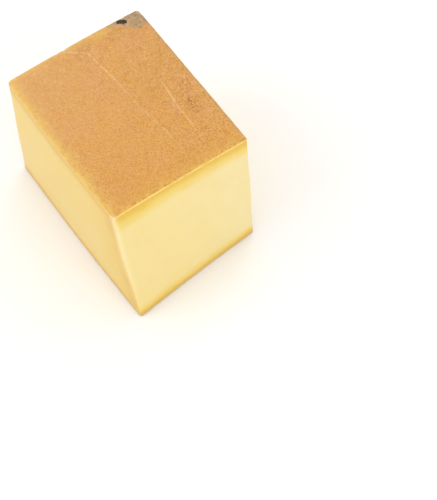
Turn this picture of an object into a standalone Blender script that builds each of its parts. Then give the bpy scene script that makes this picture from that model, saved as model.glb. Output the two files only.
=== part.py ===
"""A block of hard alpine cheese, cut from a wheel at its full height, rind upwards.

The top and the base are the two flat faces of the wheel, and the four sides are cuts. The
rind is nearly a rectangle. The cuts run down to a foot that is longer than the rind: the
far face and the left end of the near face lean outwards.

Units are metres, +Z is up, the near face looks along -Y, and the origin is the middle of
the base.
"""

import math

import bmesh
import bpy
from mathutils import Matrix, Vector

# Driving dimensions: the rind's outline, and the height of the wheel
RIND_WIDTH = 0.0965
RIND_LENGTH = 0.1215
HEIGHT = 0.110

# Rind's outline: the swell of its left edge, the hollow of its near edge, how far its right
# edge turns in and its far edge falls back towards the corners, and the rounding of its two
# far corners
LEFT_SWELL = 0.0009
NEAR_HOLLOW = 0.0005
RIGHT_TURN_IN = 0.0005
FAR_FALL_LEFT = 0.0004
FAR_FALL_RIGHT = 0.0010
FAR_CORNER_RADIUS = 0.0026

# Rind's top: a slight crown, and edges that roll down where the knife pressed them
CROWN = 0.0005
SHOULDER_DROP = 0.0010
SHOULDER_REACH = 0.006

# Corners of the foot, as x and y offsets from the corners of the rind above them
FOOT_NEAR_LEFT = (0.0024, -0.0116)
FOOT_NEAR_RIGHT = (0.0007, -0.0013)
FOOT_FAR_LEFT = (0.0010, 0.0094)
FOOT_FAR_RIGHT = (0.0010, 0.0060)
FOOT_FALL_POWER = 1.2

# Long shallow waves that a knife leaves in the cut faces
CUT_WAVE = 0.0002
CUT_WAVES_ALONG = 1.3
CUT_WAVES_DOWN = 1.0

# Edges: the widest rounding, and the share of it that each kind of edge gets
EDGE_ROUNDING = 0.0012
RIM_SHARE = 0.5
NEAR_UPRIGHT_SHARE = 1.0
FOOT_SHARE = 0.8
EDGE_SEGMENTS = 2

# Grid: cells along each side of the block, and how strongly its lines gather at the edges
CELLS = 20
LINE_GATHER = 1.5

# Colours, as linear values
CUT_COLOUR = (0.871, 0.723, 0.342, 1.0)
CUT_ROUGHNESS = 0.45
RIND_COLOUR = (0.752, 0.386, 0.119, 1.0)
RIND_ROUGHNESS = 0.6


def clear_scene():
    """Removes every object that the file opened with."""
    for old in list(bpy.data.objects):
        bpy.data.objects.remove(old, do_unlink=True)


def make_material(name, colour, roughness):
    """One Principled material of an even colour."""
    material = bpy.data.materials.new(name)
    material.use_nodes = True
    shader = material.node_tree.nodes["Principled BSDF"]
    shader.inputs["Base Color"].default_value = colour
    shader.inputs["Roughness"].default_value = roughness
    shader.inputs["Metallic"].default_value = 0.0
    return material


def mix(start, end, share):
    """The value at a share of the way from start to end."""
    return start + (end - start) * share


def gathered(t):
    """A line of the even grid, moved towards the nearer end of its side."""
    if t < 0.5:
        return 0.5 * (2.0 * t) ** LINE_GATHER
    return 1.0 - 0.5 * (2.0 - 2.0 * t) ** LINE_GATHER


def foot_share(w):
    """How much of the foot's outline shows at a height: 0 at the rind and 1 at the base."""
    return (1.0 - w) ** FOOT_FALL_POWER


def knife_wave(along, w):
    """A shallow wave of a cut face, which fades out at the rind and at the base."""
    phase = CUT_WAVES_ALONG * along + CUT_WAVES_DOWN * w
    return CUT_WAVE * 4.0 * w * (1.0 - w) * math.sin(2.0 * math.pi * phase)


def left_side(v, w):
    """x of the left face, at a share v of the way back and w of the way up."""
    rind = -LEFT_SWELL * math.sin(math.pi * v)
    foot = mix(FOOT_NEAR_LEFT[0], FOOT_FAR_LEFT[0], v)
    return rind + foot * foot_share(w) + knife_wave(v, w)


def right_side(v, w):
    """x of the right face."""
    rind = RIND_WIDTH - RIGHT_TURN_IN * v**2
    foot = mix(FOOT_NEAR_RIGHT[0], FOOT_FAR_RIGHT[0], v)
    return rind + foot * foot_share(w) - knife_wave(1.0 - v, w)


def near_side(u, w):
    """y of the near face, at a share u of the way from left to right."""
    rind = NEAR_HOLLOW * math.sin(math.pi * u)
    foot = mix(FOOT_NEAR_LEFT[1], FOOT_NEAR_RIGHT[1], u)
    return rind + foot * foot_share(w) + knife_wave(u, w)


def far_side(u, w):
    """y of the far face."""
    fall = FAR_FALL_LEFT if u < 0.5 else FAR_FALL_RIGHT
    rind = RIND_LENGTH - fall * (2.0 * u - 1.0) ** 2
    foot = mix(FOOT_FAR_LEFT[1], FOOT_FAR_RIGHT[1], u)
    return rind + foot * foot_share(w) - knife_wave(1.0 - u, w)


def rounded_far_corner(side_gap, far_gap):
    """Distances from a side face and from the far face, squeezed onto the corner's arc."""
    across = FAR_CORNER_RADIUS - side_gap
    along = FAR_CORNER_RADIUS - far_gap
    if across <= 0.0 or along <= 0.0:
        return side_gap, far_gap
    squeeze = max(across, along) / math.hypot(across, along)
    return FAR_CORNER_RADIUS - across * squeeze, FAR_CORNER_RADIUS - along * squeeze


def rind_height(u, v):
    """Height of the top face: a slight crown, and a shoulder that rolls down at the rim."""
    gap_across = min(u, 1.0 - u) * RIND_WIDTH
    gap_along = min(v, 1.0 - v) * RIND_LENGTH
    roll = max(1.0 - min(gap_across, gap_along) / SHOULDER_REACH, 0.0) ** 2
    crown = CROWN * math.sin(math.pi * u) * math.sin(math.pi * v)
    return HEIGHT + crown - SHOULDER_DROP * roll


def block_point(u, v, w):
    """A point of the unit cube, carried to its place on the block."""
    left, right = left_side(v, w), right_side(v, w)
    near, far = near_side(u, w), far_side(u, w)
    side_gap = (right - left) * min(u, 1.0 - u)
    far_gap = (far - near) * (1.0 - v)
    side_gap, far_gap = rounded_far_corner(side_gap, far_gap)
    x = left + side_gap if u < 0.5 else right - side_gap
    return Vector((x, far - far_gap, w * rind_height(u, v)))


def on_face(vertex, axis, value):
    """Whether a vertex of the unit cube lies on one of its faces."""
    return abs(vertex.co[axis] - value) < 1e-6


def lies_on(element, axis, value):
    """Whether all of an edge or a face lies on one face of the unit cube."""
    return all(on_face(vertex, axis, value) for vertex in element.verts)


def write_edge_shares(cube):
    """Gives each rim, foot and near upright edge its share of the rounding."""
    shares = cube.edges.layers.float.new("bevel_weight_edge")
    for edge in cube.edges:
        on_side = [lies_on(edge, axis, value) for axis in (0, 1) for value in (0.0, 1.0)]
        if any(on_side) and lies_on(edge, 2, 1.0):
            edge[shares] = RIM_SHARE
        elif any(on_side) and lies_on(edge, 2, 0.0):
            edge[shares] = FOOT_SHARE
        elif sum(on_side) == 2 and lies_on(edge, 1, 0.0):
            edge[shares] = NEAR_UPRIGHT_SHARE


def block_mesh():
    """A gridded cube shaped into the block, with the two rinds in material slot 1."""
    cube = bmesh.new()
    bmesh.ops.create_cube(cube, size=1.0, matrix=Matrix.Translation((0.5, 0.5, 0.5)))
    bmesh.ops.subdivide_edges(cube, edges=cube.edges[:], cuts=CELLS - 1, use_grid_fill=True)
    write_edge_shares(cube)
    for face in cube.faces:
        face.material_index = int(lies_on(face, 2, 1.0) or lies_on(face, 2, 0.0))
        face.smooth = True
    base = [face for face in cube.faces if lies_on(face, 2, 0.0)]
    bmesh.ops.dissolve_faces(cube, faces=base)
    for vertex in cube.verts:
        vertex.co = block_point(*(gathered(t) for t in vertex.co))
    mesh = bpy.data.meshes.new("cheese_block")
    cube.to_mesh(mesh)
    cube.free()
    return mesh


def round_edges(block):
    """Rounds the rim, the foot and the near uprights, each by its own share."""
    rounding = block.modifiers.new("edges", "BEVEL")
    rounding.limit_method = "WEIGHT"
    rounding.width = EDGE_ROUNDING
    rounding.segments = EDGE_SEGMENTS


def stand_on_origin(block):
    """Moves the mesh so that the origin is the middle of its finished base."""
    bpy.context.view_layer.update()
    finished = block.evaluated_get(bpy.context.evaluated_depsgraph_get())
    corners = [Vector(corner) for corner in finished.bound_box]
    low = Vector([min(corner[axis] for corner in corners) for axis in range(3)])
    high = Vector([max(corner[axis] for corner in corners) for axis in range(3)])
    middle = (low + high) / 2.0
    block.data.transform(Matrix.Translation((-middle.x, -middle.y, -low.z)))
    block.data.update()


def main():
    clear_scene()
    collection = bpy.data.collections.new("gruyere_cheese")
    bpy.context.scene.collection.children.link(collection)
    block = bpy.data.objects.new("cheese_block", block_mesh())
    block.data.materials.append(make_material("cut cheese", CUT_COLOUR, CUT_ROUGHNESS))
    block.data.materials.append(make_material("rind", RIND_COLOUR, RIND_ROUGHNESS))
    collection.objects.link(block)
    round_edges(block)
    stand_on_origin(block)


main()
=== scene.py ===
"""The looks of a block of hard alpine cheese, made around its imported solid.

The file is read as a notebook. Each step first says what the real thing is like and how it
could be made, and the code under it makes it and prints what came out.

Units are metres, +Z is up, the block stands on Z = 0, and its near cut face looks along -Y.
"""

# %% [markdown]
# # A block of hard alpine cheese
#
# The block is as high as the wheel that it was cut from. Its top and its base are rind, dry
# and orange-tan with a fine pebbled grain, and its four sides are smooth cuts, which are
# golden just under the rind and pale further in.
#
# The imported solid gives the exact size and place. It comes in first, and its box is kept,
# so that the finished block can be compared with it at the end.

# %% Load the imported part
import itertools
import json

import bpy
import numpy as np
from mathutils import Matrix, Vector


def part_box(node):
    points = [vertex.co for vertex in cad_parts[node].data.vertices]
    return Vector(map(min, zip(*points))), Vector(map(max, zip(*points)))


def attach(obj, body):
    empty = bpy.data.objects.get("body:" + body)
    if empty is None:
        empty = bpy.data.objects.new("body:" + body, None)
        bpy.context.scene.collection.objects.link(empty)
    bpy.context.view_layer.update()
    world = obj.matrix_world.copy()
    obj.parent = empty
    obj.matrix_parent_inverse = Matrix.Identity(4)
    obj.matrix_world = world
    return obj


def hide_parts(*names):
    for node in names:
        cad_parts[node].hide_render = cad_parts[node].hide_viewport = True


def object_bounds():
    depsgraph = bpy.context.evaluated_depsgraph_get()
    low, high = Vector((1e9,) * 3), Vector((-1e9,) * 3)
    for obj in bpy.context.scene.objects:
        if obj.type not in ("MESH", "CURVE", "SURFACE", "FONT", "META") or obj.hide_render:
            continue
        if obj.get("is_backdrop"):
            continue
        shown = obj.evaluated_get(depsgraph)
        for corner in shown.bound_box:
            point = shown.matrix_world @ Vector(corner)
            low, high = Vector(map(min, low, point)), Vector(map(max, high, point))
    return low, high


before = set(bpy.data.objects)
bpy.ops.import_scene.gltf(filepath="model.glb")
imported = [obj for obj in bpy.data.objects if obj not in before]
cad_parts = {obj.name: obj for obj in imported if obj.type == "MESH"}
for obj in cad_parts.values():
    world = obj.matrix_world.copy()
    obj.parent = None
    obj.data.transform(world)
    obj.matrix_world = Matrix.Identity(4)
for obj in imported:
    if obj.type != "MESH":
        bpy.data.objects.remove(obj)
cad_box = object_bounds()
node_low, node_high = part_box("cheese_block")
MM = 0.001
print("packed solid, mm:", [round(side / MM, 1) for side in node_high - node_low])

# %% [markdown]
# # The camera
#
# The block is seen from its near left, from high up, through a long lens that keeps its
# edges almost parallel. A camera's matrix has its right, up and backward directions as
# columns, so these are worked out from the two ends of the line of sight, and a small roll
# is then added about that line.

# %% Place the camera
CAMERA_PLACE = Vector((-0.29016, -0.59726, 1.07504))
CAMERA_TARGET = Vector((0.01532, -0.07073, 0.02422))
CAMERA_ROLL = np.radians(-4.763)
CAMERA_LENS = 138.3
SENSOR_WIDTH = 36.0
VIEW_END = 20.0

camera = bpy.data.objects.new("camera", bpy.data.cameras.new("camera"))
bpy.context.scene.collection.objects.link(camera)
camera.data.lens = CAMERA_LENS
camera.data.sensor_width = SENSOR_WIDTH
camera.data.clip_end = VIEW_END
line_of_sight = CAMERA_TARGET - CAMERA_PLACE
facing = line_of_sight.to_track_quat("-Z", "Y").to_matrix().to_4x4()
rolled = facing @ Matrix.Rotation(CAMERA_ROLL, 4, "Z")
camera.matrix_world = Matrix.Translation(CAMERA_PLACE) @ rolled
bpy.context.scene.camera = camera
print("camera stands", round(line_of_sight.length, 3), "m from its target")

# %% [markdown]
# # The floor and the light
#
# Cheese looks right in broad soft light: hard light would make the cuts look like plastic.
# A white world lights the block from everywhere, a white floor throws that light back up,
# and three large lamps add the small difference between one face and the next. The floor
# lies a hair below the block, so that the two never share a plane.

# %% Make the floor
FLOOR_REACH = 12.0
FLOOR_HEIGHT = -0.00015
FLOOR_WHITE = (0.93, 0.93, 0.93, 1.0)
FLOOR_ROUGHNESS = 0.9

floor_mesh = bpy.data.meshes.new("floor")
floor_signs = [(-1.0, -1.0), (1.0, -1.0), (1.0, 1.0), (-1.0, 1.0)]
floor_corners = [(a * FLOOR_REACH, b * FLOOR_REACH, FLOOR_HEIGHT) for a, b in floor_signs]
floor_mesh.from_pydata(floor_corners, [], [(0, 1, 2, 3)])
floor = bpy.data.objects.new("floor", floor_mesh)
bpy.context.scene.collection.objects.link(floor)
floor_paint = bpy.data.materials.new("floor paint")
floor_paint.use_nodes = True
floor_shader = floor_paint.node_tree.nodes["Principled BSDF"]
floor_shader.inputs["Base Color"].default_value = FLOOR_WHITE
floor_shader.inputs["Roughness"].default_value = FLOOR_ROUGHNESS
floor_mesh.materials.append(floor_paint)
floor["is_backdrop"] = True
print("floor is", 2.0 * FLOOR_REACH, "m wide")

# %% Light the world
WORLD_WHITE = (1.0, 1.0, 1.0, 1.0)
WORLD_STRENGTH = 0.95

world = bpy.data.worlds.new("studio")
world.use_nodes = True
backdrop = world.node_tree.nodes["Background"]
backdrop.inputs["Color"].default_value = WORLD_WHITE
backdrop.inputs["Strength"].default_value = WORLD_STRENGTH
bpy.context.scene.world = world
bpy.context.scene.view_settings.view_transform = "Standard"
print("world strength", WORLD_STRENGTH)

# %% Hang the lamps
LAMP_AIM = Vector((0.0, 0.0, 0.05))

# Each lamp: its name, its place, its power in watts and the width of its square
LAMPS = [
    ("front light", (0.1, -1.6, 0.9), 6.0, 1.0),
    ("left light", (-1.3, 0.4, 1.3), 7.0, 1.2),
    ("back light", (1.3, 0.9, 0.4), 5.0, 0.8),
]

for name, place, watts, width in LAMPS:
    lamp = bpy.data.objects.new(name, bpy.data.lights.new(name, "AREA"))
    lamp.data.energy = watts
    lamp.data.size = width
    bpy.context.scene.collection.objects.link(lamp)
    facing = (LAMP_AIM - Vector(place)).to_track_quat("-Z", "Y")
    lamp.matrix_world = Matrix.Translation(place) @ facing.to_matrix().to_4x4()
print("lamps:", [name for name, *_ in LAMPS])

# %% [markdown]
# # The surface as a lattice
#
# The block is a bent box, so its surface can be taken from the outer shell of a lattice of
# small cells. The rind on top has the finest relief and gets the finest cells. Far down the
# cuts and on the base a cell is twice as wide, and one row of five-sided faces under the
# rim joins the two widths without leaving a gap.
#
# Each patch of the shell lists its faces as lattice places. A place that several patches
# share becomes one vertex, so the skin closes by itself.

# %% Count the cells
CELLS_ACROSS = 188
CELLS_ALONG = 232
ROWS = 80
FINE_ROWS = 5

# A wide cell is as wide as this many narrow ones
WIDE = 2


def place_number(i, j, k):
    """One whole number for a lattice place, counted across, along and up."""
    return (i * (CELLS_ALONG + 1) + j) * (ROWS + 1) + k


def sheet_faces(k, stride, upwards):
    """Square faces of one level of the lattice, a stride apart, as rows of four numbers."""
    i, j = np.meshgrid(
        np.arange(0, CELLS_ACROSS, stride), np.arange(0, CELLS_ALONG, stride), indexing="ij"
    )
    i, j = i.ravel(), j.ravel()
    corners = [(i, j), (i + stride, j), (i + stride, j + stride), (i, j + stride)]
    faces = np.stack([place_number(a, b, k) for a, b in corners], axis=1)
    return faces if upwards else faces[:, ::-1]


rind_faces = sheet_faces(ROWS, 1, True)
base_faces = sheet_faces(0, WIDE, False)
print("rind faces", len(rind_faces), "and base faces", len(base_faces))


# %% Wrap the rows of the cut faces round the block
def outline_places():
    """The lattice's outline, once round from the near left corner, as i and j."""
    i_up, j_up = np.arange(CELLS_ACROSS), np.arange(CELLS_ALONG)
    i = np.concatenate([i_up, 0 * j_up + CELLS_ACROSS, CELLS_ACROSS - i_up, 0 * j_up])
    j = np.concatenate([0 * i_up, j_up, 0 * i_up + CELLS_ALONG, CELLS_ALONG - j_up])
    return i, j


outline_i, outline_j = outline_places()


def wall_faces(first_row, last_row, stride):
    """Square faces between two rows of the outline, a stride apart."""
    here = np.arange(0, len(outline_i), stride)
    ahead = (here + stride) % len(outline_i)
    k, here = [side.ravel() for side in np.meshgrid(np.arange(first_row, last_row), here)]
    k, ahead = [side.ravel() for side in np.meshgrid(np.arange(first_row, last_row), ahead)]
    corners = [(here, k), (ahead, k), (ahead, k + 1), (here, k + 1)]
    return np.stack([place_number(outline_i[m], outline_j[m], row) for m, row in corners], 1)


def joining_faces(row):
    """Five-sided faces, each with one wide edge below and two narrow edges above."""
    here = np.arange(0, len(outline_i), WIDE)
    ahead = (here + WIDE) % len(outline_i)
    corners = [(here, row), (ahead, row), (ahead, row + 1), (here + 1, row + 1), (here, row + 1)]
    return np.stack([place_number(outline_i[m], outline_j[m], up) for m, up in corners], 1)


joining_row = ROWS - FINE_ROWS - 1
fine_walls = wall_faces(joining_row + 1, ROWS, 1)
wide_walls = wall_faces(0, joining_row, WIDE)
square_faces = np.concatenate([rind_faces, base_faces, fine_walls, wide_walls])
five_sided_faces = joining_faces(joining_row)
print("square faces", len(square_faces), "and five-sided faces", len(five_sided_faces))

# %% Number the vertices
corner_places = np.concatenate([square_faces.ravel(), five_sided_faces.ravel()])
places, corner_vertices = np.unique(corner_places, return_inverse=True)
corner_vertices = corner_vertices.ravel()
row_index = places % (ROWS + 1)
along_index = places // (ROWS + 1) % (CELLS_ALONG + 1)
across_index = places // ((ROWS + 1) * (CELLS_ALONG + 1))
print("vertices", len(places))


# %% [markdown]
# # Lines that gather at the edges
#
# Even cells would leave too few of them for the narrow rounding of the rim. The lattice's
# lines are drawn towards both ends of each side instead: line number i moves back by a pull
# that grows as 1 - e^(-i / reach) and then stays the same, so that the middle is even again.

# %% Space the lines
def gathered_shares(count, pull, reach):
    """Shares 0 to 1 of the lines: i - pull * (1 - e^(-i / reach)), from either end."""
    index = np.arange(count + 1)
    from_end = np.minimum(index, count - index)
    drawn = from_end - pull * (1.0 - np.exp(-from_end / reach))
    middle = drawn.max()
    return np.where(index <= count / 2, drawn, 2.0 * middle - drawn) / (2.0 * middle)


# Pull and reach in cells, for the lines across and along the block and for its rows
LEVEL_GATHER = (3.0, 3.5)
UPRIGHT_GATHER = (10.4, 11.0)

u = gathered_shares(CELLS_ACROSS, *LEVEL_GATHER)[across_index]
v = gathered_shares(CELLS_ALONG, *LEVEL_GATHER)[along_index]
w = gathered_shares(ROWS, *UPRIGHT_GATHER)[row_index]
print("first lines, as shares of the width:", np.round(np.unique(u)[:5], 4))

# %% [markdown]
# # The form of the block
#
# The rind's outline is nearly a rectangle. Its left edge swells a little, its near edge is
# slightly hollow, its right edge turns in a little, and its far edge falls back towards the
# corners and has a shallow dip with a small notch in it, which both fade out further down.
# Towards the foot the near left corner and the far side lean outwards, because the knife
# never went straight down. All of that is written as the places of four sides, each a
# formula in u across, v along and w up, and a vertex lies between them at its own shares.

# %% Set the sizes
RIND_WIDTH = 0.0965
RIND_LENGTH = 0.1215
HEIGHT = 0.110

# The rind's outline
LEFT_SWELL = 0.0009
NEAR_HOLLOW = 0.0005
RIGHT_TURN_IN = 0.0005
FAR_FALL_LEFT = 0.0004
FAR_FALL_RIGHT = 0.0010

# The dents of the far edge, each by its depth, and its place and half width as shares
FAR_DIP = (0.0001, 0.40, 0.05)
FAR_NOTCH = (0.0006, 0.43, 0.012)
DENT_FADE_POWER = 12

# The top: a slight crown, and a shoulder that rolls down at the rim
CROWN = 0.0005
SHOULDER_DROP = 0.0010
SHOULDER_REACH = 0.006

# Corners of the foot, as x and y offsets from the corners of the rind above them
FOOT_NEAR_LEFT = (0.0024, -0.0116)
FOOT_NEAR_RIGHT = (0.0007, -0.0013)
FOOT_FAR_LEFT = (0.0010, 0.0094)
FOOT_FAR_RIGHT = (0.0010, 0.0060)
FOOT_FALL_POWER = 1.2

# Long shallow waves of the knife
CUT_WAVE = 0.0002
CUT_WAVES_ALONG = 1.3
CUT_WAVES_DOWN = 1.0


def mix(start, end, share):
    """start + (end - start) * share."""
    return start + (end - start) * share


def s_curve(t):
    """0 up to t = 0, 1 from t = 1, and 3 t^2 - 2 t^3 between."""
    t = np.clip(t, 0.0, 1.0)
    return t * t * (3.0 - 2.0 * t)


def bell(distance, reach):
    """e^-(distance / reach)^2: 1 in the middle, and nearly 0 at twice the reach."""
    return np.exp(-((distance / reach) ** 2))


def knife_wave(along):
    """4 w (1 - w) times a sine that runs along the cut and down it."""
    phase = CUT_WAVES_ALONG * along + CUT_WAVES_DOWN * w
    return CUT_WAVE * 4.0 * w * (1.0 - w) * np.sin(2.0 * np.pi * phase)


foot = (1.0 - w) ** FOOT_FALL_POWER
print("rind", RIND_WIDTH / MM, "x", RIND_LENGTH / MM, "mm, height", HEIGHT / MM, "mm")

# %% Set out the four cut faces
left = mix(FOOT_NEAR_LEFT[0], FOOT_FAR_LEFT[0], v) * foot + knife_wave(v)
left -= LEFT_SWELL * np.sin(np.pi * v)
right = mix(FOOT_NEAR_RIGHT[0], FOOT_FAR_RIGHT[0], v) * foot - knife_wave(1.0 - v)
right += RIND_WIDTH - RIGHT_TURN_IN * v**2
near = mix(FOOT_NEAR_LEFT[1], FOOT_NEAR_RIGHT[1], u) * foot + knife_wave(u)
near += NEAR_HOLLOW * np.sin(np.pi * u)
far = mix(FOOT_FAR_LEFT[1], FOOT_FAR_RIGHT[1], u) * foot - knife_wave(1.0 - u)
far_fall = np.where(u < 0.5, FAR_FALL_LEFT, FAR_FALL_RIGHT) * (2.0 * u - 1.0) ** 2
for dent_depth, place, dent_reach in (FAR_DIP, FAR_NOTCH):
    far -= dent_depth * bell(u - place, dent_reach) * w**DENT_FADE_POWER
far += RIND_LENGTH - far_fall
print("foot length at the left, mm:", round((far - near)[(u == 0) & (w == 0)][0] / MM, 1))

# %% [markdown]
# # Rounded edges
#
# A corner can be rounded without any modifier. Take a point's distances a and b from the two
# faces that meet there, and the gaps R - a and R - b that are left to the centre of the
# arc. Multiplying both gaps by the larger one over their diagonal puts every point that was
# on the square corner onto the arc of radius R, and leaves everything beyond R alone.
#
# The upright corners are rounded first, in plan. Then the rim and the foot are rounded with
# the distance in from the outline, and the depth below the top or the height above the base.

# %% Round the upright corners
# Each pair is the radius at the rind and the radius at the foot
NEAR_CORNER_RADIUS = (0.0007, 0.0022)
FAR_CORNER_RADIUS = (0.0026, 0.0034)


def rounding_squeeze(gap_a, gap_b):
    """The larger gap over the diagonal of both, or 1 where either gap is closed."""
    inside = (gap_a > 0.0) & (gap_b > 0.0)
    diagonal = np.where(inside, np.hypot(gap_a, gap_b), 1.0)
    return np.where(inside, np.maximum(gap_a, gap_b) / diagonal, 1.0)


side_distance = (right - left) * np.minimum(u, 1.0 - u)
end_distance = (far - near) * np.minimum(v, 1.0 - v)
near_radius = mix(NEAR_CORNER_RADIUS[0], NEAR_CORNER_RADIUS[1], 1.0 - w)
far_radius = mix(FAR_CORNER_RADIUS[0], FAR_CORNER_RADIUS[1], 1.0 - w)
corner_radius = np.where(v < 0.5, near_radius, far_radius)
side_gap = np.maximum(corner_radius - side_distance, 0.0)
end_gap = np.maximum(corner_radius - end_distance, 0.0)
squeeze = rounding_squeeze(side_gap, end_gap)
inland = np.minimum(side_distance, end_distance)
side_distance = side_distance + side_gap * (1.0 - squeeze)
end_distance = end_distance + end_gap * (1.0 - squeeze)
print("near corner radius, mm:", np.array(NEAR_CORNER_RADIUS) / MM)

# %% Find which way is in
reach = np.maximum(np.hypot(side_gap, end_gap), 1e-9)
inward_x = np.where(u < 0.5, 1.0, -1.0) * side_gap / reach
inward_y = np.where(v < 0.5, 1.0, -1.0) * end_gap / reach
x = np.where(u < 0.5, left + side_distance, right - side_distance)
y = np.where(v < 0.5, near + end_distance, far - end_distance)
print("plan without its relief, mm:", round(np.ptp(x) / MM, 2), round(np.ptp(y) / MM, 2))

# %% Round the rim and the foot
RIM_RADIUS = 0.0006
FOOT_RADIUS = 0.0010

shoulder = np.maximum(1.0 - inland / SHOULDER_REACH, 0.0) ** 2
crown = CROWN * np.sin(np.pi * u) * np.sin(np.pi * v)
top = HEIGHT + crown - SHOULDER_DROP * shoulder
z = w * top
upper = w > 0.5
edge_radius = np.where(upper, RIM_RADIUS, FOOT_RADIUS)
depth = np.where(upper, top - z, z)
plan_gap = np.maximum(edge_radius - inland, 0.0)
depth_gap = np.maximum(edge_radius - depth, 0.0)
squeeze = rounding_squeeze(plan_gap, depth_gap)
x = x + inward_x * plan_gap * (1.0 - squeeze)
y = y + inward_y * plan_gap * (1.0 - squeeze)
z = z + np.where(upper, -1.0, 1.0) * depth_gap * (1.0 - squeeze)
print("height, mm:", round(np.ptp(z) / MM, 2))

# %% Find which way is out
normal = np.stack(
    [-inward_x * plan_gap, -inward_y * plan_gap, np.where(upper, 1.0, -1.0) * depth_gap], 1
)
normal /= np.linalg.norm(normal, axis=1, keepdims=True)
rind_share = np.abs(normal[:, 2]) ** 2
print("vertices that are rind:", int((rind_share > 0.5).sum()))

# %% [markdown]
# # Relief
#
# The rind of a wheel that was turned and brushed for months is pebbled, with low swells,
# and the folds of the moulding cloth left fine raised creases in it. The cuts are smooth,
# with faint level ripples from the blade on its way down, and the rim is a little frayed.
# The base is pressed flat. Geometry holds all that is wider than about a millimetre, and a
# bump in the material adds the finer grain.
#
# The noise under it is random heights on a cubic lattice, blended between lattice points by
# s-curves. Its table is seeded, so that it is the same each time.

# %% Write the noise
TABLE_SIZE = 32

# The turn keeps the lattice's planes from lining up with the faces of the block
TURN_ANGLE = 0.7
TURN_AXIS = Vector((1.0, 2.0, 3.0))
TURN = Matrix.Rotation(TURN_ANGLE, 3, TURN_AXIS)


def smooth_noise(points, cell, seed):
    """The eight random heights round a point, blended by s-curves: -1 to 1."""
    table = np.random.default_rng(seed).uniform(-1.0, 1.0, (TABLE_SIZE,) * 3)
    scaled = points @ np.array(TURN) / cell
    first = np.floor(scaled).astype(int)
    share = s_curve(scaled - first)
    total = np.zeros(len(points))
    for step in itertools.product((0, 1), repeat=3):
        weight = np.where(step, share, 1.0 - share).prod(axis=1)
        a, b, c = ((first + step) % TABLE_SIZE).T
        total += weight * table[a, b, c]
    return total


def pebbles(points, cell, seed):
    """The size of a smooth noise: round bumps with narrow valleys, 0 to 1."""
    return np.abs(smooth_noise(points, cell, seed))


def sunk(form, points, layers):
    """Sum of height * (form - 1) over layers of height, size and seed: never above 0."""
    return sum(height * (form(points, size, seed) - 1.0) for height, size, seed in layers)


surface = np.stack([x, y, z], axis=1)
sample = smooth_noise(surface, cell=0.01, seed=1)
print("noise range:", np.round(np.ptp(sample), 2))


# %% [markdown]
# # Marks in the rind
#
# The creases run from the far edge towards the near one. Each is a path of straight runs
# that is drawn by its distance from every vertex, so it stays a smooth line on any grid.
# Every point of a path is its x and y in millimetres, from the near left corner of the
# rind, and a third number that says how strong the mark is there.

# %% Draw a mark along a path
def mark(path, half_width):
    """Strength at the nearest place of the path, times e^-(distance / half width)^2."""
    path = np.array(path) * (MM, MM, 1.0)
    start, run = path[:-1], np.diff(path, axis=0)
    away = np.stack([x, y], axis=1)[:, None, :] - start[None, :, :2]
    share = (away * run[:, :2]).sum(axis=2) / (run[:, :2] ** 2).sum(axis=1)
    share = np.clip(share, 0.0, 1.0)
    distance = np.linalg.norm(away - share[..., None] * run[:, :2], axis=2)
    nearest = distance.argmin(axis=1)
    every = np.arange(len(x))
    strength = start[nearest, 2] + share[every, nearest] * run[nearest, 2]
    return strength * bell(distance[every, nearest], half_width)


LONG_CREASE = [
    (51.7, 110.0, 0.9), (53.5, 94.4, 1.0), (55.0, 79.5, 0.8), (55.2, 75.0, 0.4),
    (55.8, 60.5, 0.35), (56.8, 50.8, 0.2), (59.2, 34.7, 0.6), (60.1, 25.2, 0.4),
    (60.6, 14.0, 0.0),
]
SIDE_CREASE = [
    (77.5, 66.8, 0.3), (76.7, 57.3, 0.9), (75.1, 42.1, 0.8), (75.0, 27.8, 0.6),
    (74.1, 12.5, 0.1),
]
SHORT_CREASES = [
    [(19.4, 109.8, 0.3), (19.5, 94.6, 0.15)],
    [(31.4, 105.7, 0.15), (40.4, 100.2, 0.3)],
    [(40.9, 118.5, 0.9), (52.1, 109.4, 0.8)],
    [(52.1, 109.4, 0.9), (57.4, 110.3, 0.6)],
]
RIM_STAIN = [(87.0, 120.9, 0.6), (90.1, 120.2, 1.0), (92.8, 119.6, 0.8)]
SPECKLE = [(83.4, 34.5, 0.5), (83.2, 41.0, 1.0), (84.4, 48.0, 0.6), (87.5, 57.0, 0.4)]
SPOT = [(80.5, 118.9, 0.85), (82.3, 117.8, 1.0), (83.9, 116.6, 1.0)]
CREASE_HALF_WIDTH = 0.0004
STAIN_HALF_WIDTH = 0.0009
SPECKLE_HALF_WIDTH = 0.0028
SPOT_HALF_WIDTH = 0.0019

on_top = rind_share * upper
creases = [LONG_CREASE, SIDE_CREASE, *SHORT_CREASES]
crease = np.maximum.reduce([mark(path, CREASE_HALF_WIDTH) for path in creases]) * on_top
stain = mark(RIM_STAIN, STAIN_HALF_WIDTH) * on_top
speckle = mark(SPECKLE, SPECKLE_HALF_WIDTH) * on_top
spot = mark(SPOT, SPOT_HALF_WIDTH) * on_top
print("vertices on a crease:", int((crease > 0.5).sum()))

# %% Mark the mouldy corner
MOULD_EDGE = [
    (69.0, 126.0), (73.1, 119.6), (75.8, 118.3), (78.5, 116.3), (80.9, 113.8),
    (83.9, 111.0), (86.3, 108.6), (89.3, 107.0), (92.5, 107.2), (97.0, 108.0),
]

# Width of the strip along this line in which the mould grows in
MOULD_FADE = 0.007

edge_x, edge_y = np.array(MOULD_EDGE).T * MM
mould = s_curve((y - np.interp(x, edge_x, edge_y)) / MOULD_FADE + 0.5) * on_top
print("vertices in the mouldy corner:", int((mould > 0.5).sum()))

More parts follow.
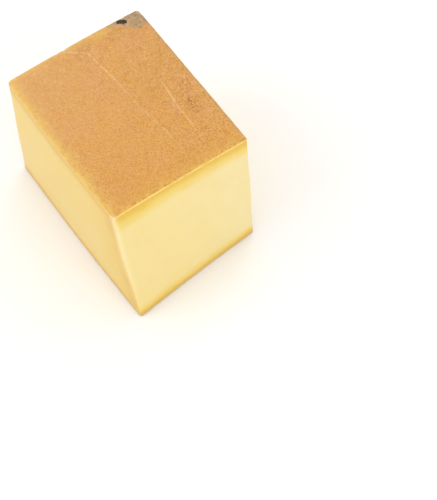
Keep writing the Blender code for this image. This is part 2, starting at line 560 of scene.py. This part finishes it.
# %% Carve the relief
# Layers of noise: height, size and seed. The ripples are stretched along the cuts
SWELLS = [(0.00016, 0.017, 3)]
PEBBLES = [(0.00009, 0.0034, 5), (0.00006, 0.0017, 7)]
RIPPLES = [(0.00005, 0.0060, 11), (0.00002, 0.0022, 13)]
RIPPLE_STRETCH = (0.25, 0.25, 1.0)

# The marks, and the base, where the grain is weaker and what stands out is pressed flat
CREASE_HEIGHT = 0.00014
SPOT_DEPTH = 0.0002
MOULD_DEPTH = 0.00008
BASE_GRAIN = 0.4
BASE_PRESSED = 0.00003

# The fray of the rim: its depth, and the size, seed and reach of its nicks
RIM_FRAY = 0.0003
RIM_FRAY_SIZE = 0.0030
RIM_FRAY_SEED = 17
RIM_FRAY_REACH = 0.0008

grain = sunk(pebbles, surface, PEBBLES) * np.where(upper, 1.0, BASE_GRAIN)
rind_relief = sunk(smooth_noise, surface, SWELLS) * upper + grain
rind_relief += CREASE_HEIGHT * crease - SPOT_DEPTH * spot - MOULD_DEPTH * mould
ripples = sunk(smooth_noise, surface * RIPPLE_STRETCH, RIPPLES)
worn = np.maximum(smooth_noise(surface, RIM_FRAY_SIZE, RIM_FRAY_SEED), 0.0)
fray = RIM_FRAY * worn * bell(inland + depth, RIM_FRAY_REACH)
relief = mix(ripples, rind_relief, rind_share) - fray
relief += np.where(upper, 0.0, rind_share * BASE_PRESSED)
surface = surface + normal * relief[:, None]
surface[:, 2] = np.maximum(surface[:, 2], 0.0)
print("relief, mm:", np.round([relief.min() / MM, relief.max() / MM], 3))

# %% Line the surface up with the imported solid
middle = (surface.max(axis=0) + surface.min(axis=0)) / 2.0
node_middle = (np.array(node_low) + np.array(node_high)) / 2.0
shift = np.array([node_middle[0] - middle[0], node_middle[1] - middle[1], node_low[2]])
surface = surface + shift
print("shift, mm:", np.round(shift / MM, 2), "size, mm:", np.round(np.ptp(surface, 0) / MM, 2))


# %% [markdown]
# # Into the mesh
#
# The arrays go into Blender in one step each, with foreach_set. A polygon is told only
# where its corners start in the long list of corners, so squares and five-sided faces can
# stand in the same list.

# %% Build the mesh
def build_mesh(name):
    """A smooth mesh from the surface's points and its faces."""
    mesh = bpy.data.meshes.new(name)
    mesh.vertices.add(len(surface))
    mesh.vertices.foreach_set("co", surface.astype(np.float32).ravel())
    mesh.loops.add(len(corner_vertices))
    mesh.loops.foreach_set("vertex_index", corner_vertices.astype(np.int32))
    sizes = np.repeat([4, 5], [len(square_faces), len(five_sided_faces)])
    starts = np.concatenate([[0], np.cumsum(sizes)[:-1]])
    mesh.polygons.add(len(sizes))
    mesh.polygons.foreach_set("loop_start", starts.astype(np.int32))
    mesh.update(calc_edges=True)
    mesh.validate()
    mesh.polygons.foreach_set("use_smooth", np.ones(len(sizes), dtype=bool))
    return mesh


block = bpy.data.objects.new("gruyere_block", build_mesh("gruyere_block"))
bpy.context.scene.collection.objects.link(block)
block.data.calc_loop_triangles()
print("block:", len(block.data.vertices), "vertices,", len(block.data.loop_triangles), "triangles")

# %% [markdown]
# # What the finish needs to know
#
# Most of the finish depends on how far a place is from a rim: the cuts are golden beside
# the rinds, and the rind is amber where the fat of the cut has crept into it. That distance
# is stored on the mesh in millimetres, positive on the rind and negative on a cut. It grows
# faster above the base, where the golden band is narrower, and a sliver of the lower rind
# shows under it. On the left face it stays small beside the near upright, so that the face
# turns golden there as painted shade and reflected warm light. All other attributes are
# shares from 0 to 1. The near face is the fresh cut, so the dryness is 0 there and 1 on the
# other sides.

# %% Store the distance from the rim
FOOT_BAND_GROWTH = 1.5
LOWER_RIND_SHOWS = 0.0010
# Painted shade on the left face beside the near upright, drawn as a golden band that fades away
# from it
UPRIGHT_SHADE_BAND = 0.005
UPRIGHT_SHADE_GROWTH = 0.35


def store(name, values):
    """Puts one number for each vertex on the block's mesh."""
    layer = block.data.attributes.new(name, "FLOAT", "POINT")
    layer.data.foreach_set("value", values.astype(np.float32))


shade_beside_upright = (u == 0.0) & (v < 0.5)
upright_shade_depth = UPRIGHT_SHADE_BAND + UPRIGHT_SHADE_GROWTH * end_distance
cut_depth = np.where(upper, depth, FOOT_BAND_GROWTH * depth - LOWER_RIND_SHOWS)
# The left face is deepened beside the near upright as painted shade and reflected warm light
cut_depth = np.where(shade_beside_upright, np.minimum(cut_depth, upright_shade_depth), cut_depth)
store("from_rim", np.where(rind_share > 0.5, inland, -cut_depth) / MM)
print("deepest place of a cut, mm:", round(cut_depth.max() / MM, 1))

# %% Find where the rind is amber
# How the amber fades inland, and its strength along each edge, where the left one has 1
AMBER_FADE = 0.0055
LEFT_REACH = 0.014
EDGE_REACH = 0.010
NEAR_AMBER = 0.62
RIGHT_AMBER = 0.1
FAR_AMBER = 0.6

# An amber patch at the far edge, placed from the near left corner of the rind
FAR_PATCH_PLACE = (0.065, 0.1105)
FAR_PATCH_REACH = 0.010
FAR_PATCH_AMBER = 0.55


def nearness(distance, edge_reach, half):
    """An s-curve from 1 at an edge to 0 at its reach, on one half of the block."""
    return s_curve(1.0 - distance / edge_reach) * half


at_left = nearness(side_distance, LEFT_REACH, u < 0.5)
at_right = nearness(side_distance, EDGE_REACH, u >= 0.5)
at_near = nearness(end_distance, EDGE_REACH, v < 0.5)
at_far = nearness(end_distance, EDGE_REACH, v >= 0.5)
amber_edges = [at_left, NEAR_AMBER * at_near, RIGHT_AMBER * at_right, FAR_AMBER * at_far]
amber = np.exp(-inland / AMBER_FADE) * np.maximum.reduce(amber_edges)
far_patch = bell(x - FAR_PATCH_PLACE[0], FAR_PATCH_REACH)
far_patch *= s_curve((y - FAR_PATCH_PLACE[1]) / FAR_PATCH_REACH)
amber = np.maximum(amber, FAR_PATCH_AMBER * far_patch)
print("vertices that are mostly amber:", int((amber > 0.5).sum()))

# %% Find where the rind is gilded
# The gold lies along the near edge, over the near left part, and round the middle
NEAR_GILT = 0.75
NEAR_GILT_FADE = 0.008
CORNER_GILT = 0.2
CORNER_GILT_FALL = 0.7
MIDDLE_GILT = 0.3
MIDDLE_PLACE = (0.38, 0.40)
MIDDLE_REACH = (0.28, 0.33)

gilt = NEAR_GILT * np.exp(-end_distance / NEAR_GILT_FADE) * (v < 0.5)
gilt += CORNER_GILT * (1.0 - v) * (1.0 - CORNER_GILT_FALL * u)
across = bell(u - MIDDLE_PLACE[0], MIDDLE_REACH[0])
along = bell(v - MIDDLE_PLACE[1], MIDDLE_REACH[1])
gilt += MIDDLE_GILT * across * along
print("most gilt:", round(gilt.max(), 2))

# %% Find the marks along the edges
# A painted highlight runs down the near left upright, and reaches further on the left face
UPRIGHT_HIGHLIGHT_REACH = 0.0024
LEFT_FACE_WEIGHT = 0.8

# A grey line along the rind's right edge, and a speckle along its near edge
RIGHT_STAIN = 0.34
RIGHT_STAIN_REACH = 0.0016
NEAR_SPECKLE = 0.5
NEAR_SPECKLE_FADE = 0.0050

near_left = (u < 0.5) & (v < 0.5)
painted_upright_highlight = bell(side_distance + LEFT_FACE_WEIGHT * end_distance, UPRIGHT_HIGHLIGHT_REACH)
painted_upright_highlight *= (1.0 - foot**2) * near_left
right_stain = RIGHT_STAIN * at_right * bell(inland, RIGHT_STAIN_REACH) * rind_share
near_speckle = NEAR_SPECKLE * at_near * np.exp(-inland / NEAR_SPECKLE_FADE) * rind_share
print("vertices on the light upright:", int((painted_upright_highlight > 0.5).sum()))

# %% Store the shares
# The rind is rosiest at its far left corner, and a brown line of painted shade, partly the base
# rind's edge, runs along the foot
FAR_LEFT_ROSE = 0.45
FOOT_SHADE_TOP = 0.0048
FOOT_SHADE_FADE = 0.0030

dryness = np.clip(1.0 - np.clip(-normal[:, 1], 0.0, 1.0) ** 2, 0.0, 1.0)
shares = {
    "rightness": u,
    "coarseness": 1.0 - v,
    "lowness": 1.0 - w,
    "dryness": dryness,
    "amber": amber,
    "gilt": gilt,
    "rosiness": FAR_LEFT_ROSE * v * (1.0 - u),
    "painted_upright_highlight": painted_upright_highlight,
    "foot_shade_line": s_curve((FOOT_SHADE_TOP - depth) / FOOT_SHADE_FADE) * ~upper,
    "crease": crease,
    "mould": mould,
    "spot": spot,
    "stain": np.maximum(stain, right_stain),
    "speckle": speckle + near_speckle,
}
for name, values in shares.items():
    store(name, values)
print("shares stored:", list(shares))

# %% [markdown]
# # The finish
#
# One material covers the block, because rind and cut share the rim. Small helpers keep its
# nodes readable: each returns the output of the node that it adds, so that nodes are
# written inside each other like a sum. All patterns read Object coordinates, which don't
# move with the view.

# %% Start the material and its helpers
# How much brighter the lit block looks than its own colour
LIGHT_LEVEL = 1.13

cheese = bpy.data.materials.new("alpine cheese")
cheese.use_nodes = True
nodes = cheese.node_tree.nodes
links = cheese.node_tree.links
shader = nodes["Principled BSDF"]
object_place = nodes.new("ShaderNodeTexCoord").outputs["Object"]


def feed(socket, value):
    """Links an output to a socket, or sets a plain value on it."""
    if isinstance(value, bpy.types.NodeSocket):
        links.new(value, socket)
    else:
        socket.default_value = value


def stored(name):
    """Reads one of the block's attributes."""
    reader = nodes.new("ShaderNodeAttribute")
    reader.attribute_name = name
    return reader.outputs["Fac"]


def noise(size_mm, detail, seed):
    """Noise whose largest shapes are about so many millimetres wide, 0 to 1."""
    texture = nodes.new("ShaderNodeTexNoise")
    texture.noise_dimensions = "4D"
    feed(texture.inputs["Vector"], object_place)
    texture.inputs["W"].default_value = seed
    texture.inputs["Scale"].default_value = 1.0 / (size_mm * MM)
    texture.inputs["Detail"].default_value = detail
    return texture.outputs["Fac"]


def span(value, low, high, out_low=0.0, out_high=1.0):
    """Carries low..high to out_low..out_high with an s-curve, and clamps beyond."""
    ranger = nodes.new("ShaderNodeMapRange")
    ranger.interpolation_type = "SMOOTHSTEP"
    for name, given in (("Value", value), ("From Min", low), ("From Max", high)):
        feed(ranger.inputs[name], given)
    feed(ranger.inputs["To Min"], out_low)
    feed(ranger.inputs["To Max"], out_high)
    return ranger.outputs["Result"]


def maths(operation, first, second):
    """One step of arithmetic."""
    step = nodes.new("ShaderNodeMath")
    step.operation = operation
    feed(step.inputs[0], first)
    feed(step.inputs[1], second)
    return step.outputs[0]


def colour(red, green, blue):
    """How a surface looks in this light, in screen values of 0 to 255, as its own colour."""
    screen = np.array([red, green, blue]) / 255.0
    linear = np.where(screen <= 0.04045, screen / 12.92, ((screen + 0.055) / 1.055) ** 2.4)
    return (*(linear / LIGHT_LEVEL), 1.0)


def blend(share, first, second):
    """Two colours mixed by a share."""
    mixer = nodes.new("ShaderNodeMix")
    mixer.data_type = "RGBA"
    feed(mixer.inputs["Factor"], share)
    feed(mixer.inputs["A"], first)
    feed(mixer.inputs["B"], second)
    return mixer.outputs["Result"]


def layered(ground, rows):
    """Lays rows of colour, size, detail, seed, start, full and most share over a ground."""
    for tint, size_mm, detail, seed, start, full, most in rows:
        share = span(noise(size_mm, detail, seed), start, full, 0.0, most)
        ground = blend(share, ground, tint)
    return ground


def broken(share, size_mm, detail, seed, start, full, least):
    """A share times a noise's span: the least of it at start, and all of it at full."""
    return maths("MULTIPLY", share, span(noise(size_mm, detail, seed), start, full, least, 1.0))


def wobble(size_mm, detail, seed, width):
    """(noise - 1/2) * width."""
    return maths("MULTIPLY", maths("SUBTRACT", noise(size_mm, detail, seed), 0.5), width)


print("material:", cheese.name)

# %% [markdown]
# # The cut cheese
#
# The paste is a pale butter yellow where the cut is fresh, on the near face, and a little
# deeper on the sides that have dried. It deepens over the last two centimetres before a
# rind and turns golden in the last one, where the cheese dries and ripens first. The bands
# wander, so their depth gets a wide and a fine wobble.

# %% Mix the colour of the cuts
PASTE_FRESH = colour(243, 220, 147)
PASTE_PALE = colour(244, 224, 161)
PASTE_DRY = colour(240, 208, 117)
# Painted light thrown up by the floor: the dried sides are paler towards the foot
PASTE_FLOOR_LIT = colour(242, 211, 130)
EDGE_FRESH = colour(241, 209, 104)
EDGE_DRY = colour(238, 203, 104)
GOLD_FRESH = colour(231, 188, 62)
GOLD_DRY = colour(229, 183, 80)

# Wobbles of the bands: size in mm, detail, seed, and width in mm
WIDE_WOBBLE = (26.0, 1.0, 4.0, 7.0)
FINE_WOBBLE = (9.0, 2.0, 5.0, 4.5)

# Where a tone starts and where it is full, in mm from the rim or as a share of a side
EDGE_BAND = (-18.0, -7.0)
GOLD_BAND = (-9.5, -2.5)
PALE_TO_RIGHT = (0.1, 1.0)
FLOOR_LIGHT_TO_FOOT = (0.3, 0.75)

# Dry cuts have wider bands, by so many mm, and all cuts have faint clouds of gold
DRY_BANDS_WIDER = 1.2
GOLD_CLOUDS = (14.0, 3.0, 2.0, 0.40, 0.75, 0.10)

from_rim_mm = stored("from_rim")
dry_share = stored("dryness")
band_depth = maths("ADD", wobble(*WIDE_WOBBLE), wobble(*FINE_WOBBLE))
band_depth = maths("ADD", from_rim_mm, band_depth)
band_depth = maths("ADD", band_depth, maths("MULTIPLY", dry_share, DRY_BANDS_WIDER))
fresh_paste = blend(span(stored("rightness"), *PALE_TO_RIGHT), PASTE_FRESH, PASTE_PALE)
# The dried sides get paler towards the foot as painted light from the floor
dry_paste = blend(span(stored("lowness"), *FLOOR_LIGHT_TO_FOOT), PASTE_DRY, PASTE_FLOOR_LIT)
paste = blend(dry_share, fresh_paste, dry_paste)
edge = blend(dry_share, EDGE_FRESH, EDGE_DRY)
gold = blend(dry_share, GOLD_FRESH, GOLD_DRY)
paste = blend(span(band_depth, *EDGE_BAND), paste, edge)
paste = blend(span(band_depth, *GOLD_BAND), paste, gold)
paste = layered(paste, [(gold, *GOLD_CLOUDS)])
print("cut colours are mixed")

# %% [markdown]
# # The rind
#
# The rind's colour changes at every scale: patches of pinkish and of yellow-brown a few
# centimetres wide, a mottling of a few millimetres, and pale and brown specks of about a
# millimetre. Towards the near edge the ground is lighter and the brown specks are stronger,
# so the grain looks coarser there. Gold, rose and amber tints lie over all of it.

# %% Mix the colour of the rind
RIND_DEEP = colour(211, 152, 75)
RIND_PALE = colour(224, 167, 87)
RIND_LIGHT = colour(230, 175, 98)
RIND_PINK = colour(224, 162, 104)
RIND_GOLD = colour(224, 161, 68)
RIND_ROSE = colour(226, 171, 116)
RIND_AMBER = colour(239, 202, 106)
GRAIN_BROWN = colour(194, 125, 38)
GRAIN_PALE = colour(240, 194, 126)

# Layers: colour, size in mm, detail, seed, where the noise starts and is full, most share
MOTTLING = [
    (RIND_PINK, 22.0, 2.0, 8.0, 0.44, 0.64, 0.60),
    (RIND_GOLD, 13.0, 3.0, 10.0, 0.48, 0.68, 0.75),
    (RIND_PINK, 6.0, 3.0, 12.0, 0.50, 0.66, 0.60),
    (GRAIN_BROWN, 3.2, 3.0, 9.0, 0.48, 0.72, 0.54),
    (GRAIN_PALE, 1.6, 3.0, 11.0, 0.50, 0.72, 0.60),
]
PALE_SPECKS = [(GRAIN_PALE, 0.8, 2.0, 15.0, 0.52, 0.72, 0.54)]

# Breaks: size in mm, detail, seed, where the noise starts and is full, least share
BROWN_SPECKS = (1.0, 2.0, 13.0, 0.48, 0.68, 0.0)
AMBER_BREAKS = (3.0, 3.0, 16.0, 0.36, 0.60, 0.5)

# The ground: its patches, and how its tone and its brown specks change over the block
PATCHES = (30.0, 3.0, 7.0)
PATCH_SPAN = (0.20, 0.75)
DEEPER_TO_RIGHT = 0.5
LIGHTER_TO_NEAR = 0.6
BROWN_AT_FAR = 0.5
BROWNER_TO_NEAR = 0.95

slope = maths("MULTIPLY", maths("SUBTRACT", stored("rightness"), 0.5), DEEPER_TO_RIGHT)
patches = maths("SUBTRACT", noise(*PATCHES), slope)
rind = blend(span(patches, *PATCH_SPAN), RIND_DEEP, RIND_PALE)
coarseness = stored("coarseness")
rind = blend(maths("MULTIPLY", coarseness, LIGHTER_TO_NEAR), rind, RIND_LIGHT)
rind = layered(rind, MOTTLING)
brown_most = maths("ADD", maths("MULTIPLY", coarseness, BROWNER_TO_NEAR), BROWN_AT_FAR)
rind = blend(broken(brown_most, *BROWN_SPECKS), rind, GRAIN_BROWN)
rind = layered(rind, PALE_SPECKS)
rind = blend(stored("gilt"), rind, RIND_GOLD)
rind = blend(stored("rosiness"), rind, RIND_ROSE)
rind = blend(broken(stored("amber"), *AMBER_BREAKS), rind, RIND_AMBER)
print("rind colours are mixed")

# %% [markdown]
# # Marks and mould
#
# The creases are pale where they were rubbed, and broken where they weren't. Mould grows
# into the rind with a ragged edge: noise is added to its share, and a fringe shows where
# the sum is low and the grey where it is high. The dark spot gets its outline the same way.

# %% Add the marks
CREASE_PALE = colour(243, 205, 146)
SPECKLE_RED = colour(174, 96, 46)
MOULD_FRINGE = colour(208, 154, 108)
MOULD_PALE = colour(206, 174, 130)
MOULD_GREY = colour(172, 145, 106)
MOULD_DARK = colour(146, 117, 90)
STAIN_GREY = colour(132, 104, 100)
SPOT_DARK = colour(58, 42, 8)
CREASE_BREAKS = (2.2, 2.0, 21.0, 0.36, 0.60, 0.15)
SPECKLE_BREAKS = (1.5, 3.0, 22.0, 0.46, 0.62, 0.0)
MOULD_MOTTLING = [
    (MOULD_PALE, 3.0, 3.0, 18.0, 0.40, 0.65, 1.0),
    (MOULD_DARK, 2.0, 3.0, 20.0, 0.52, 0.70, 1.0),
]

# Ragged edges: each noise with its weight, and each tone's start, full, least and most
MOULD_NOISE = (3.0, 4.0, 17.0)
MOULD_NOISE_WEIGHT = 2.0
MOULD_NOISE_START = (0.0, 0.2)
FRINGE_SPAN = (0.9, 1.5, 0.0, 0.6)
MOULD_SPAN = (1.25, 2.0, 0.0, 0.9)
SPOT_NOISE = (2.0, 3.0, 19.0)
SPOT_NOISE_WEIGHT = 1.5
SPOT_SPAN = (1.0, 1.35, 0.0, 1.0)

rind = blend(broken(stored("crease"), *CREASE_BREAKS), rind, CREASE_PALE)
rind = blend(broken(stored("speckle"), *SPECKLE_BREAKS), rind, SPECKLE_RED)
mould_share = stored("mould")
mould_noise = maths("MULTIPLY", noise(*MOULD_NOISE), MOULD_NOISE_WEIGHT)
mould_noise = maths("MULTIPLY", mould_noise, span(mould_share, *MOULD_NOISE_START))
mould_growth = maths("ADD", mould_share, mould_noise)
rind = blend(span(mould_growth, *FRINGE_SPAN), rind, MOULD_FRINGE)
rind = blend(span(mould_growth, *MOULD_SPAN), rind, layered(MOULD_GREY, MOULD_MOTTLING))
rind = blend(stored("stain"), rind, STAIN_GREY)
spot_noise = maths("MULTIPLY", noise(*SPOT_NOISE), SPOT_NOISE_WEIGHT)
rind = blend(span(maths("ADD", stored("spot"), spot_noise), *SPOT_SPAN), rind, SPOT_DARK)
print("marks are added")

# %% [markdown]
# # Where the two meet
#
# The rind takes over from the paste at a slightly wavering rim. A thin pale lip marks the
# edge that the knife turned over, and a painted highlight brightens it. A painted highlight
# runs down the near left upright, and a brown line along the foot is painted shade, partly
# the base rind's edge. The cut is smoother than the rind, and light goes a
# little way into the fat, which is what the subsurface sockets are for.

# %% Join the two at the rim
# The lip is pale, and its colour also holds a painted highlight where the rim rounds over
LIP_HIGHLIGHT = colour(254, 217, 120)
# Painted highlight for the near left upright edge
UPRIGHT_HIGHLIGHT = colour(255, 238, 186)
# Painted shade along the foot, partly the base rind's brown edge
FOOT_SHADE_BROWN = colour(212, 176, 108)
RIM_WOBBLE = (1.6, 2.0, 23.0, 0.8)

# Where the rind and the two sides of the lip and its painted highlight start and are full, in mm
# from the rim
RIND_START = (-0.15, 0.25)
LIP_HIGHLIGHT_LOWER_SIDE = (-2.2, -0.9)
LIP_HIGHLIGHT_UPPER_SIDE = (0.25, -0.05)
LIP_HIGHLIGHT_BREAKS = (2.5, 3.0, 25.0, 0.34, 0.60, 0.35)

# The most that each of them covers
LIP_HIGHLIGHT_DRY = 0.55
LIP_HIGHLIGHT_FRESH = 0.95
UPRIGHT_HIGHLIGHT_SHARE = 0.66
FOOT_SHADE_SHARE = 0.75

# The shader's own sockets
CUT_ROUGHNESS = 0.42
RIND_ROUGHNESS = 0.62
FAT_WEIGHT = 0.25
FAT_RADIUS = (1.0, 0.55, 0.2)
FAT_DEPTH = 0.0025
SPECULAR_LEVEL = 0.4

rind_cover = span(maths("ADD", from_rim_mm, wobble(*RIM_WOBBLE)), *RIND_START)
skin = blend(rind_cover, paste, rind)
lip_highlight_upper = span(from_rim_mm, *LIP_HIGHLIGHT_UPPER_SIDE)
lip_highlight_share = maths("MULTIPLY", span(from_rim_mm, *LIP_HIGHLIGHT_LOWER_SIDE), lip_highlight_upper)
freshness = span(dry_share, 1.0, 0.0, LIP_HIGHLIGHT_DRY, LIP_HIGHLIGHT_FRESH)
lip_highlight_share = maths("MULTIPLY", broken(lip_highlight_share, *LIP_HIGHLIGHT_BREAKS), freshness)
# Pale lip with a painted highlight along the rim, strongest on the near face
skin = blend(lip_highlight_share, skin, LIP_HIGHLIGHT)
# Painted highlight down the near left upright edge
skin = blend(maths("MULTIPLY", stored("painted_upright_highlight"), UPRIGHT_HIGHLIGHT_SHARE), skin, UPRIGHT_HIGHLIGHT)
# Painted shade as a brown line along the foot
skin = blend(maths("MULTIPLY", stored("foot_shade_line"), FOOT_SHADE_SHARE), skin, FOOT_SHADE_BROWN)
roughness = span(rind_cover, 0.0, 1.0, CUT_ROUGHNESS, RIND_ROUGHNESS)
links.new(skin, shader.inputs["Base Color"])
links.new(roughness, shader.inputs["Roughness"])
shader.inputs["Subsurface Weight"].default_value = FAT_WEIGHT
shader.inputs["Subsurface Radius"].default_value = FAT_RADIUS
shader.inputs["Subsurface Scale"].default_value = FAT_DEPTH
shader.inputs["Specular IOR Level"].default_value = SPECULAR_LEVEL
block.data.materials.append(cheese)
print("sockets of the shader are set")

# %% [markdown]
# # Fine bump
#
# What is finer than the mesh is left to bump: the rind's grain, about a tenth of a
# millimetre high, and a much weaker waxy unevenness on the cuts.

# %% Add the fine grain
COARSE_GRAIN = (0.9, 3.0, 29.0)
FINE_GRAIN = (0.45, 2.0, 31.0)
FINE_GRAIN_SHARE = 0.6
WAXY_NOISE = (2.5, 3.0, 37.0)
WAXY_SHARE = 0.12
BUMP_HEIGHT = 0.00012

fine_grain = maths("MULTIPLY", noise(*FINE_GRAIN), FINE_GRAIN_SHARE)
grain_height = nodes.new("ShaderNodeMix")
feed(grain_height.inputs["Factor"], rind_cover)
feed(grain_height.inputs["A"], maths("MULTIPLY", noise(*WAXY_NOISE), WAXY_SHARE))
feed(grain_height.inputs["B"], maths("ADD", noise(*COARSE_GRAIN), fine_grain))
bump = nodes.new("ShaderNodeBump")
bump.inputs["Distance"].default_value = BUMP_HEIGHT
links.new(grain_height.outputs["Result"], bump.inputs["Height"])
links.new(bump.outputs["Normal"], shader.inputs["Normal"])
print("nodes in the material:", len(nodes))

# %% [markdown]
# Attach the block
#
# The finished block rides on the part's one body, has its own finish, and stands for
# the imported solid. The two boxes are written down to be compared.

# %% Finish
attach(block, "root")
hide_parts("cheese_block")
boxes = {"cad": cad_box, "visual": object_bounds()}
boxes = {name: [list(corner) for corner in box] for name, box in boxes.items()}
print(json.dumps(boxes))
